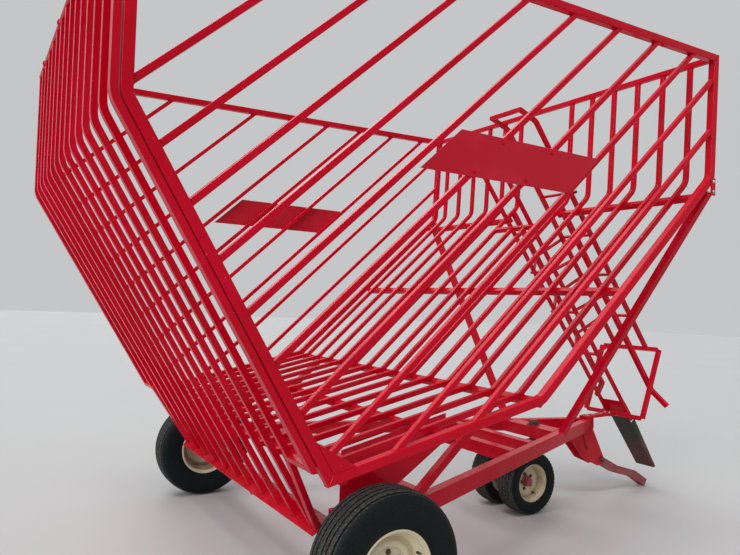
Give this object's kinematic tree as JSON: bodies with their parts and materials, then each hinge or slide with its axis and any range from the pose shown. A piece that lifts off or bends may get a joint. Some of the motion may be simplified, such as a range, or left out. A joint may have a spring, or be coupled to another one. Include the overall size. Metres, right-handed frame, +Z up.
{
  "type": "hay bale basket wagon",
  "caption": "Red tubular steel basket trailer for small square bales, with a sloping floor, a hinged rear gate, a front chute and a twin caster under an A-frame.",
  "frame": {"origin": "floor level, on the centre plane, halfway along the whole wagon", "axes": "+X to the wagon's right, +Y forward to the tongue, +Z up"},
  "size_m": [3.162, 5.4571, 3.4857],
  "materials": {
    "red_paint": "gloss",
    "dull_red_paint": "satin",
    "tyre": "matte",
    "cream_paint": "satin",
    "bare_steel": "satin"
  },
  "bodies": {
    "chassis": {"frame_rail_right": "red_paint", "frame_rail_left": "red_paint", "frame_cross_members": "red_paint", "rear_axle": "dull_red_paint", "axle_blocks": "dull_red_paint", "hanger_plates": "red_paint", "floor_braces": "red_paint", "tongue_bracket": "red_paint", "tongue_pin": "bare_steel", "side_sill_right": "red_paint", "side_sill_left": "red_paint", "rear_post_right": "red_paint", "rear_post_left": "red_paint", "top_rail_right": "red_paint", "top_rail_left": "red_paint", "side_bars_right": "red_paint", "side_bars_left": "red_paint", "sign_plate_right": "red_paint", "sign_plate_left": "red_paint", "corner_gussets": "red_paint", "end_top_rails": "red_paint", "floor_bars": "red_paint", "floor_cross_tubes": "red_paint", "wall_braces": "red_paint", "gate_lugs": "red_paint", "chute_floor_rods": "red_paint", "chute_side_rails": "red_paint", "chute_top_rails": "red_paint", "chute_ties": "red_paint", "chute_frames": "red_paint", "chute_lip": "red_paint", "pan_rod": "bare_steel", "hoop": "red_paint", "hoop_arm": "red_paint"},
    "gate": {"gate_hinge_pipe": "red_paint", "gate_sides": "red_paint", "gate_bars": "red_paint", "gate_corners": "red_paint", "gate_foot": "red_paint"},
    "wheel_right": {"rear_tyre_right": "tyre", "rear_rim_right": "cream_paint", "rear_hub_right": "bare_steel"},
    "wheel_left": {"rear_tyre_left": "tyre", "rear_rim_left": "cream_paint", "rear_hub_left": "bare_steel"},
    "caster": {"caster_fork": "dull_red_paint"},
    "caster_wheels": {"caster_tyres": "tyre", "caster_rims": "cream_paint", "caster_hubs": "bare_steel"},
    "tongue": {"tongue": "dull_red_paint"},
    "chute_pan": {"chute_pan": "bare_steel"}
  },
  "joints": [
    {"name": "wheel_right_spin", "type": "hinge", "parent": "chassis", "child": "wheel_right", "pos_m": [1.456, -1.2975, 0.388], "axis": [1, 0, 0], "continuous": true},
    {"name": "wheel_left_spin", "type": "hinge", "parent": "chassis", "child": "wheel_left", "pos_m": [-1.456, -1.2975, 0.388], "axis": [1, 0, 0], "continuous": true},
    {"name": "caster_swivel", "type": "hinge", "parent": "chassis", "child": "caster", "pos_m": [0, 1.1665, 0.54], "axis": [0, 0, 1], "continuous": true},
    {"name": "caster_spin", "type": "hinge", "parent": "caster", "child": "caster_wheels", "pos_m": [0, 0.9365, 0.256], "axis": [1, 0, 0], "continuous": true},
    {"name": "gate_hinge", "type": "hinge", "parent": "chassis", "child": "gate", "pos_m": [0, -2.7005, 3.35344], "axis": [-1, 0, 0], "range_deg": [0, 70]},
    {"name": "tongue_hinge", "type": "hinge", "parent": "chassis", "child": "tongue", "pos_m": [0, 1.9885, 0.32], "axis": [1, 0, 0], "range_deg": [0, 40]},
    {"name": "pan_hinge", "type": "hinge", "parent": "chassis", "child": "chute_pan", "pos_m": [0, 2.31298, 0.69], "axis": [1, 0, 0], "range_deg": [0, 50]}
  ],
  "couplings": [
    {"joint": "pan_hinge", "follows": "tongue_hinge", "ratio": 1.25}
  ]
}
